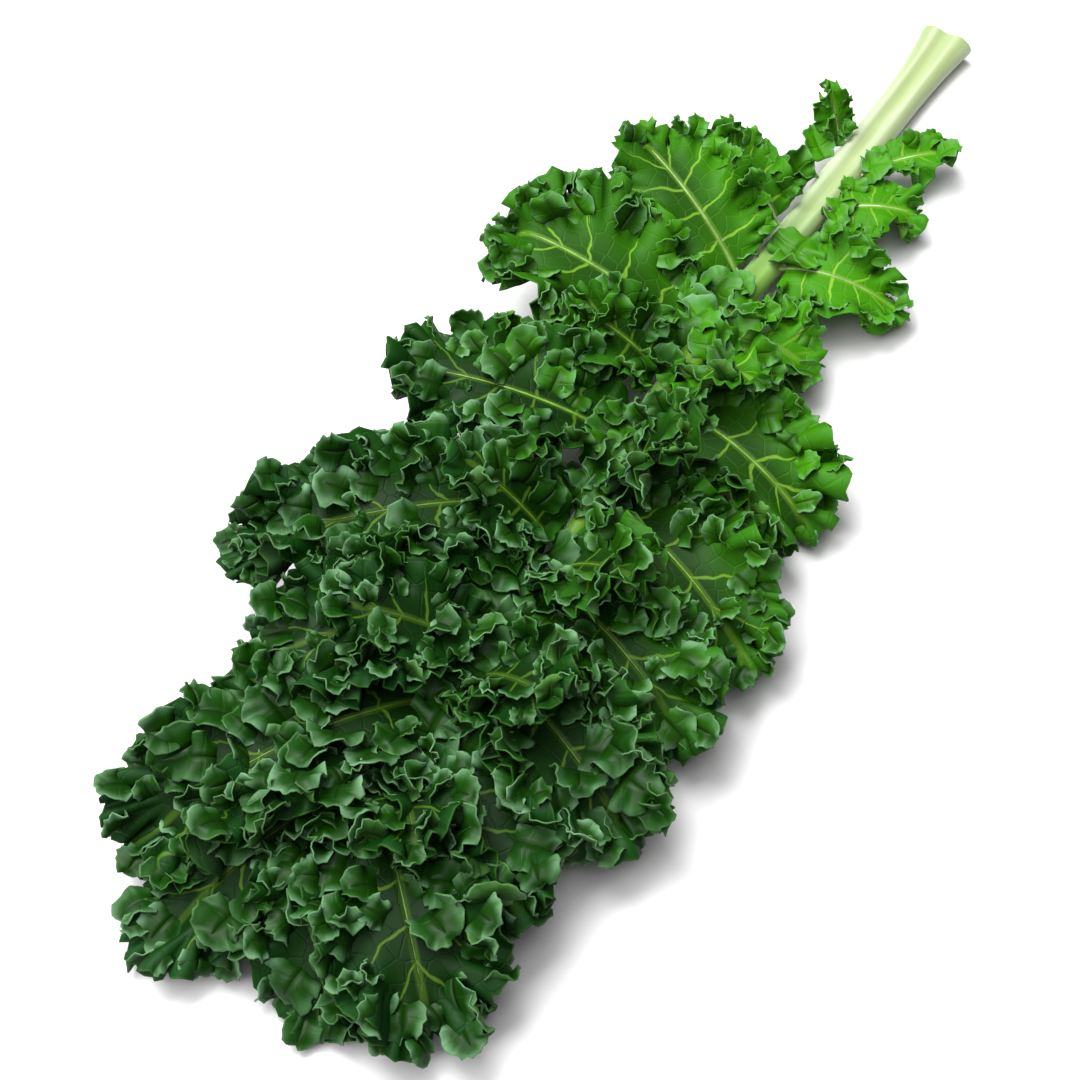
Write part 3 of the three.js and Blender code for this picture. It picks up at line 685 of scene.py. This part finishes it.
def move_points(piece, points):
    """Puts the piece's points, in millimetres on the leaf's axes, where they belong in the frame."""
    piece.data.vertices.foreach_set("co", ((points + START) * MM).ravel())
    piece.data.update()


def write_uv(piece, u, v):
    """Writes u and v to the UV map, as shares from 0 to 1."""
    loops = np.empty(len(piece.data.loops), int)
    piece.data.loops.foreach_get("vertex_index", loops)
    pairs = np.stack([((u + 1) / 2).ravel()[loops], v.ravel()[loops]], axis=-1)
    piece.data.uv_layers["leaf"].uv.foreach_set("vector", pairs.ravel())


FLAT_STEP = 97  # the flat sheets of two lobes are this far apart, so that they don't have the same net


def note_places(piece, lobe, u, v, vein_gap=1):
    """Writes what the materials read, with the branch veins set further apart by vein_gap.

    spread is how many millimetres one step of u is, rim how many there are to the edge, shade a number of
    the lobe's own, and flat the place on its sheet laid flat."""
    write_uv(piece, u / vein_gap, v)
    x, y, out_x, out_y = lobe.flat(u, v)
    step = np.linalg.norm(np.gradient(lobe.place(u, v), axis=1), axis=-1) / np.gradient(u, axis=1)
    flat = np.stack([x + FLAT_STEP * lobe.seed, y, np.zeros_like(x)], axis=-1)
    values = {
        "spread": step * vein_gap,
        "rim": (1 - v) * np.hypot(out_x, out_y),
        "shade": np.full(u.shape, draw(lobe.seed, 40)),
    }
    piece.data.attributes.new("flat", "FLOAT_VECTOR", "POINT").data.foreach_set("vector", flat.ravel())
    for name, value in values.items():
        piece.data.attributes.new(name, "FLOAT", "POINT").data.foreach_set("value", value.ravel())


def finish_blade(piece, node, thickness, upper, under):
    """Gives a sheet its two sides and its thickness, and hands it over as blade of the node."""
    piece.data.materials.append(upper)
    piece.data.materials.append(under)
    bpy.ops.object.shade_smooth()
    modifier = piece.modifiers.new("thickness", "SOLIDIFY")
    modifier.thickness = thickness * MM
    modifier.offset = 0
    modifier.material_offset = 1
    modifier.use_quality_normals = False
    bpy.ops.object.modifier_apply(modifier=modifier.name)
    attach(piece, "root")
    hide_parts(node)


NODE_OF_SIDE = {1: "blade_left", -1: "blade_right"}
SIDE_WORD = {1: "left", -1: "right"}
print("nodes", NODE_OF_SIDE)

# %% The lobes' meshes
COLUMNS_PER_WAVE = 18
SHEET_ROWS = 12  # of the shortest lobe, and a longer one gets more
ROWS_PER_MM = 0.14
TIP_ROWS = 32
DETAIL = 1


def lobe_piece(name, lobe, start, end, rows, node):
    """A lobe, or the part of it from one u to another, as a solid, ruffled blade."""
    columns = int(DETAIL * COLUMNS_PER_WAVE * abs(end - start) / 2 * lobe.waves)
    piece, across, out = grid_piece(name, columns, rows)
    u = start + (end - start) * (across + 1) / 2
    v = 1 - (1 - out) ** 1.5
    points = frilled(lobe, u, v, lobe.place(u, v))
    note_places(piece, lobe, u, v)
    move_points(piece, points)
    up = np.cross(np.gradient(points, axis=1), np.gradient(points, axis=0))[..., 2].sum()
    if up < 0:
        piece.data.flip_normals()
    finish_blade(piece, node, BLADE_THICKNESS, upper_side, under_side)
    return piece


blade_pieces = []
for name, lobe in lobes.items():
    rows = int(DETAIL * (SHEET_ROWS + ROWS_PER_MM * lobe.reach))
    blade_pieces.append(lobe_piece("lobe_" + name, lobe, -1, 1, rows, NODE_OF_SIDE[lobe.side]))
for side in (1, -1):
    half = Lobe(TIP, TIP_SEED, half=-side)
    name = "lobe_tip_" + SIDE_WORD[side]
    blade_pieces.append(lobe_piece(name, half, 0, -side, int(DETAIL * TIP_ROWS), NODE_OF_SIDE[side]))
print(len(blade_pieces), "lobes,", sum(2 * len(p.data.polygons) for p in blade_pieces), "triangles")

# %% The curls' meshes
CURL_THICKNESS = 0.35
CURL_COLUMNS = 8  # for each ruffle of its edge
CURL_ROWS = 6
CURL_TEETH = 2.6  # for each ruffle of its edge
CURL_BITE = 0.45


def fan_sheet(name, fan, columns, rows):
    """A thin grid on a fan's surface, with the UV map and attributes of a lobe's sheet."""
    piece, across, out = grid_piece(name, columns, rows)
    v = 1 - (1 - out) ** 1.4
    m = (across + 1) / 2
    points = fan.place(across, v)
    along, outward, normal = surface_ways(points)
    teeth = 2 * np.pi * (CURL_TEETH * fan.waves * m + 0.8 * wander(3.7 * m, fan.seed, 19))
    bite = CURL_BITE * smoothstep(0.75, 1, v) * (1 - smoothstep(FRILL_ENDS, 1, np.abs(across)))
    points = points + outward * (bite * np.cos(teeth))[..., None]
    points = fan.settle(points + normal * (0.6 * bite * np.sin(teeth))[..., None])
    note_places(piece, fan, across, v, vein_gap=3)
    move_points(piece, points)
    return piece


def curl_piece(name, curls, node):
    """Several curls as one solid piece."""
    sheets = [fan_sheet("curl", curl, CURL_COLUMNS * curl.waves, CURL_ROWS) for curl in curls]
    deselect_all()
    for sheet in sheets:
        sheet.select_set(True)
    bpy.context.view_layer.objects.active = sheets[0]
    bpy.ops.object.join()
    piece = bpy.context.object
    piece.name = name
    piece.data.name = name
    finish_blade(piece, node, CURL_THICKNESS, curl_upper, curl_under)
    print(name, len(sheets), "curls,", 2 * len(piece.data.polygons), "triangles")
    return piece


rng = np.random.default_rng(11)
curl_pieces = []
for name, lobe in lobes.items():
    curls = curls_on(lobe, curl_rows(lobe.at, inner=name.startswith("inner")), rng)
    curl_pieces.append(curl_piece("curls_" + name, curls, NODE_OF_SIDE[lobe.side]))
for side in (1, -1):
    half = Lobe(TIP, TIP_SEED, half=-side)
    start, end = sorted((0, -FAN_ENDS * side))
    curls = curls_on(half, curl_rows(half.at), rng, start, end)
    curl_pieces.append(curl_piece("curls_tip_" + SIDE_WORD[side], curls, NODE_OF_SIDE[side]))
print(len(curl_pieces), "pieces of curls")

# %% [markdown]
# ## Curls over the midrib
# On the real leaf the blade closes over most of its midrib, and the pale rib shows only through a few
# openings. A wing of blade along the rib could carry that, but curls rooted on the rib's flanks cover it in
# the same way as they cover the lobes.

# %% The midrib's curls
OPENINGS = [(98, 112), (126, 140), (188, 202), (242, 258), (338, 352)]
COVER_START, COVER_END, COVER_STEP = 66, 372, 7.0
for side in (1, -1):
    curls = []
    for at in np.arange(COVER_START, COVER_END, COVER_STEP):
        if any(low < at < high for low, high in OPENINGS):
            continue
        share = (at - COVER_START) / (COVER_END - COVER_START)
        root = stalk_point(at)
        root[1] += side * (stalk_value("width", at) / 2 + 1)
        root[2] += ROOT_LIFT * stalk_value("height", at)
        turn = math.radians(rng.uniform(-70, 70))
        way = np.array([math.sin(turn), side * math.cos(turn) * rng.uniform(-0.4, 1), 0.0])
        way /= np.linalg.norm(way)
        curls.append(random_curl(root, way, UP, 9 + 6 * share, 14 + 8 * share, rng))
    curl_pieces.append(curl_piece("curls_midrib_" + SIDE_WORD[side], curls, NODE_OF_SIDE[side]))
print(sum(2 * len(p.data.polygons) for p in curl_pieces), "triangles of curls")

# %% [markdown]
# ## The stalk, midrib and side ribs
# The stem has a round back and a channel along its upper side, and it widens to the cut end. It thins into
# the midrib, and each lobe's rib leaves it on the lobe's own surface, with branch veins that thin out
# towards the edge. All of it is one growth, so all of it is one pale piece, made of tubes. A curve with a
# bevel makes a tube too, but not one whose width, height and channel change along it.

# %% The stalk's material
STREAKS = (6.0, 190.0, 150.0)  # the streaks' noise runs slowly along the stem and fast across it


def stalk_material():
    """Pale and streaky at the cut end, green under the blade, and dark towards the tip."""
    graph = Graph("stalk_pale")
    place = graph.add("ShaderNodeTexCoord").outputs["Object"]
    along = graph.add("ShaderNodeSeparateXYZ", {0: place}).outputs["X"]
    stretched = graph.add("ShaderNodeMapping", {"Vector": place, "Scale": STREAKS}).outputs[0]
    noise = graph.add("ShaderNodeTexNoise", {"Vector": stretched, "Scale": 1.0, "Detail": 3.0})
    streaks = noise.outputs["Fac"]
    stem = graph.mix(graph.band(streaks, 0.35, 0.65), colour(138, 154, 104), colour(166, 177, 146))
    rib = graph.mix(graph.band(streaks, 0.35, 0.65), colour(72, 112, 18), colour(92, 136, 34))
    rib = graph.mix(graph.band(along, -0.02, -0.08, 0.0, 0.75), rib, colour(30, 58, 10))
    base = graph.mix(graph.band(along, 0.15, 0.06), stem, rib)
    bump = graph.add("ShaderNodeBump", {"Strength": 0.3, "Distance": 0.0004, "Height": streaks})
    graph.put(graph.shader.inputs["Base Color"], base)
    graph.put(graph.shader.inputs["Normal"], bump.outputs["Normal"])
    graph.shader.inputs["Roughness"].default_value = 0.42
    graph.shader.inputs["Subsurface Weight"].default_value = 0.15
    graph.shader.inputs["Subsurface Radius"].default_value = (0.004, 0.006, 0.002)
    return graph.material


pale = stalk_material()
print("stalk material", pale.name)

# %% Tubes along a line


def tube_points(line, widths, heights, sides, outline=None):
    """Rings of points round a line, in millimetres. outline(angle) scales and dips the section."""
    way = np.gradient(line, axis=0)
    way /= np.linalg.norm(way, axis=1, keepdims=True)
    level = np.cross(UP, way)
    level /= np.linalg.norm(level, axis=1, keepdims=True)
    lift = np.cross(way, level)
    angle = 2 * np.pi * np.arange(sides) / sides
    across = widths[:, None] / 2 * np.cos(angle)
    up = heights[:, None] / 2 * np.sin(angle)
    if outline is not None:
        up = up - outline(angle)
    return line[:, None] + level[:, None] * across[..., None] + lift[:, None] * up[..., None]


def tube_piece(name, rings):
    """A closed tube through rings of points. A cylinder is added as the piece, and gets a new mesh."""
    count, sides = rings.shape[:2]
    deselect_all()
    bpy.ops.mesh.primitive_cylinder_add(vertices=sides, radius=1, depth=2, end_fill_type="NGON")
    piece = bpy.context.object
    piece.name = name
    mesh = bmesh.new()
    verts = [[mesh.verts.new(tuple((p + START) * MM)) for p in ring] for ring in rings]
    for r in range(count - 1):
        for i in range(sides):
            j = (i + 1) % sides
            mesh.faces.new((verts[r][i], verts[r][j], verts[r + 1][j], verts[r + 1][i]))
    mesh.faces.new(verts[0][::-1])
    mesh.faces.new(verts[-1])
    bmesh.ops.recalc_face_normals(mesh, faces=mesh.faces)
    mesh.to_mesh(piece.data)
    mesh.free()
    return piece


# %% The stem and midrib
STEM_SIDES = 40
STEM_END = 352  # where the midrib leaves its own line for the tip's lobe
RIDGES = 11
RIDGE_DEPTH = 0.05
GROOVE_DEPTH = 0.2  # of the channel along the stem's upper side, as a share of its height
GROOVE_WIDTH = 0.38  # of the channel, as a share of half the stem's width
GROOVE_CLOSES = (60, 190)  # it closes between these places
TIP_START_WIDTH, TIP_END_WIDTH = 3, 1.0
stem_at = np.linspace(0, STEM_END, 120)
tip_t = np.linspace(0, 1, 30)
tip_u = np.where(tip_t < SPINE, (1 - np.minimum(tip_t / SPINE, 1)) ** (1 / SPINE_POWER), 0)
tip_v = np.where(tip_t < SPINE, 0, (tip_t - SPINE) / (1 - SPINE))
stem_line = np.vstack([stalk_point(stem_at), tip_line.place(tip_u, tip_v)])
tip_thick = TIP_START_WIDTH + (TIP_END_WIDTH - TIP_START_WIDTH) * tip_t
stem_width = np.concatenate([stalk_value("width", stem_at), tip_thick])
stem_height = np.concatenate([stalk_value("height", stem_at), tip_thick])


def stem_outline(angle):
    """The channel along the top, which closes towards the blade, and fine ridges along the back."""
    at = np.concatenate([stem_at, np.full(len(tip_t), LEAF_LENGTH)])
    is_open = 1 - smoothstep(*GROOVE_CLOSES, at)
    dip = np.exp(-((np.cos(angle) / GROOVE_WIDTH) ** 2)) * (np.sin(angle) > 0)
    ridges = RIDGE_DEPTH * np.sin(RIDGES * angle) * np.sign(np.sin(angle))
    return GROOVE_DEPTH * (stem_height * is_open)[:, None] * dip + ridges * (stem_height / RIDGES)[:, None]


stem_rings = tube_points(stem_line, stem_width, stem_height, STEM_SIDES, stem_outline)
stem_rings[..., 2] = np.maximum(stem_rings[..., 2], FLAT_SPOT)
stalk_parts = [tube_piece("stalk_stem", stem_rings)]
print("stem rings", len(stem_rings))

# %% The side ribs and branch veins
INNER_RIB = 1.2  # an inner lobe's rib at its root
THIN_FAR = 0.6  # a far lobe's rib is this share thinner, because its blade hides it
RIB_SUNK = 0.4  # how far a rib starts inside the midrib, as a share of its width
RIB_TIP, VEIN_TIP = 0.3, 0.12
RIB_SIDES, VEIN_SIDES = 8, 5


def vein_tube(name, line, start, end, sides):
    """A tapering tube along a line of points."""
    thick = start + (end - start) * np.linspace(0, 1, len(line))
    return tube_piece(name, tube_points(line, thick, thick, sides))


def side_rib(name, lobe, start):
    """A lobe's rib, from inside the midrib nearly to the lobe's edge."""
    rib_u = (1 - np.linspace(0, 1, 14)) ** (1 / SPINE_POWER)
    inside = lobe.root - lobe.outward * RIB_SUNK * stalk_value("width", lobe.at)
    inside[2] -= ROOT_LIFT * stalk_value("height", lobe.at)
    rib = np.vstack([inside, lobe.place(rib_u, 0), lobe.place(0, np.linspace(0.1, 0.8, 6))])
    return vein_tube("rib_" + name, rib, start, RIB_TIP, RIB_SIDES)


def branch_vein(lobe, u, rib_start):
    """A branch vein, which is thinner the nearer its root is to the rib's end."""
    start = rib_start * (0.2 + 0.25 * abs(u) ** SPINE_POWER)
    return vein_tube("vein", lobe.place(u, np.linspace(0, 0.72, 12)), start, VEIN_TIP, VEIN_SIDES)


for name, lobe in lobes.items():
    if name.startswith("inner"):
        stalk_parts.append(side_rib(name, lobe, INNER_RIB))
        continue
    share = min(1.0, lobe.width / 60) * (1 - THIN_FAR * smoothstep(*TIGHTENS, lobe.at))
    rib_start = 2 * (0.2 + share)
    stalk_parts.append(side_rib(name, lobe, rib_start))
    for k in range(1, VEINS):
        for way in (-1, 1):
            stalk_parts.append(branch_vein(lobe, way * k / VEINS, rib_start))
print(len(stalk_parts), "tubes")

# %% Join the stalk
deselect_all()
for part in stalk_parts:
    part.select_set(True)
bpy.context.view_layer.objects.active = stalk_parts[0]
bpy.ops.object.join()
stalk = bpy.context.object
stalk.name = "stalk_and_ribs"
stalk.data.materials.clear()
stalk.data.materials.append(pale)
bpy.ops.object.shade_smooth_by_angle(angle=math.radians(50))
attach(stalk, "root")
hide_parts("stalk")
print("stalk triangles about", 2 * len(stalk.data.polygons))

# %% [markdown]
# ## Surface, light and camera
# The leaf lies on a plain pale surface. One big soft light stands high up on its left, so that the shadow
# falls to its right. A larger one hangs almost straight above it, and a weak one fills from beyond its tip.
# The camera looks down on the leaf from beyond the tip and the right side, through a long lens.

# %% The surface


def floor_material():
    """A plain white that the lights make almost fully bright."""
    graph = Graph("surface_white")
    graph.shader.inputs["Base Color"].default_value = (0.6, 0.6, 0.6, 1)
    graph.shader.inputs["Roughness"].default_value = 0.6
    return graph.material


deselect_all()
bpy.ops.mesh.primitive_plane_add(size=8)
surface = bpy.context.object
surface.name = "surface"
surface.data.materials.append(floor_material())
print("surface", surface.dimensions[:2])

# %% Camera
ELEVATION = math.radians(56)
AZIMUTH = math.radians(-57)
DISTANCE = 0.765
FOCUS_AT, FOCUS_SIDE = 246, 8.5  # the place along the leaf that the camera looks at, and its way to the left
FOCUS = Vector((np.array([LEAF_LENGTH / 2 - FOCUS_AT, FOCUS_SIDE, 0]) + START) * MM)


def way_to(azimuth, elevation):
    """The way from the leaf to what looks at it. Azimuth 0 is the leaf's right side."""
    level = math.cos(elevation)
    return Vector((math.sin(azimuth) * level, -math.cos(azimuth) * level, math.sin(elevation)))


BACK = way_to(AZIMUTH, ELEVATION)
bpy.ops.object.camera_add(location=FOCUS + DISTANCE * BACK)
camera = bpy.context.object
camera.name = "camera"
camera.rotation_euler = (-BACK).to_track_quat("-Z", "Y").to_euler()
camera.data.lens = 85
camera.data.sensor_width = 36
bpy.context.scene.camera = camera
print("camera at", [round(c, 3) for c in camera.location])

# %% Lights


def soft_light(name, azimuth, elevation, distance, size, power):
    """A square soft light that looks at the leaf's middle."""
    way = way_to(math.radians(azimuth), math.radians(elevation))
    bpy.ops.object.light_add(type="AREA", location=FOCUS + distance * way)
    light = bpy.context.object
    light.name = name
    light.rotation_euler = (-way).to_track_quat("-Z", "Y").to_euler()
    light.data.size = size
    light.data.energy = power
    return light


soft_light("light_key", azimuth=165, elevation=64, distance=2.2, size=1.5, power=92)
soft_light("light_top", azimuth=-90, elevation=80, distance=2.4, size=2.2, power=56)
soft_light("light_fill", azimuth=-110, elevation=45, distance=2.4, size=1.2, power=30)
world = bpy.context.scene.world or bpy.data.worlds.new("world")
bpy.context.scene.world = world
world.use_nodes = True
world.node_tree.nodes["Background"].inputs["Color"].default_value = (1, 1, 1, 1)
world.node_tree.nodes["Background"].inputs["Strength"].default_value = 0.1
bpy.context.scene.view_settings.view_transform = "Standard"
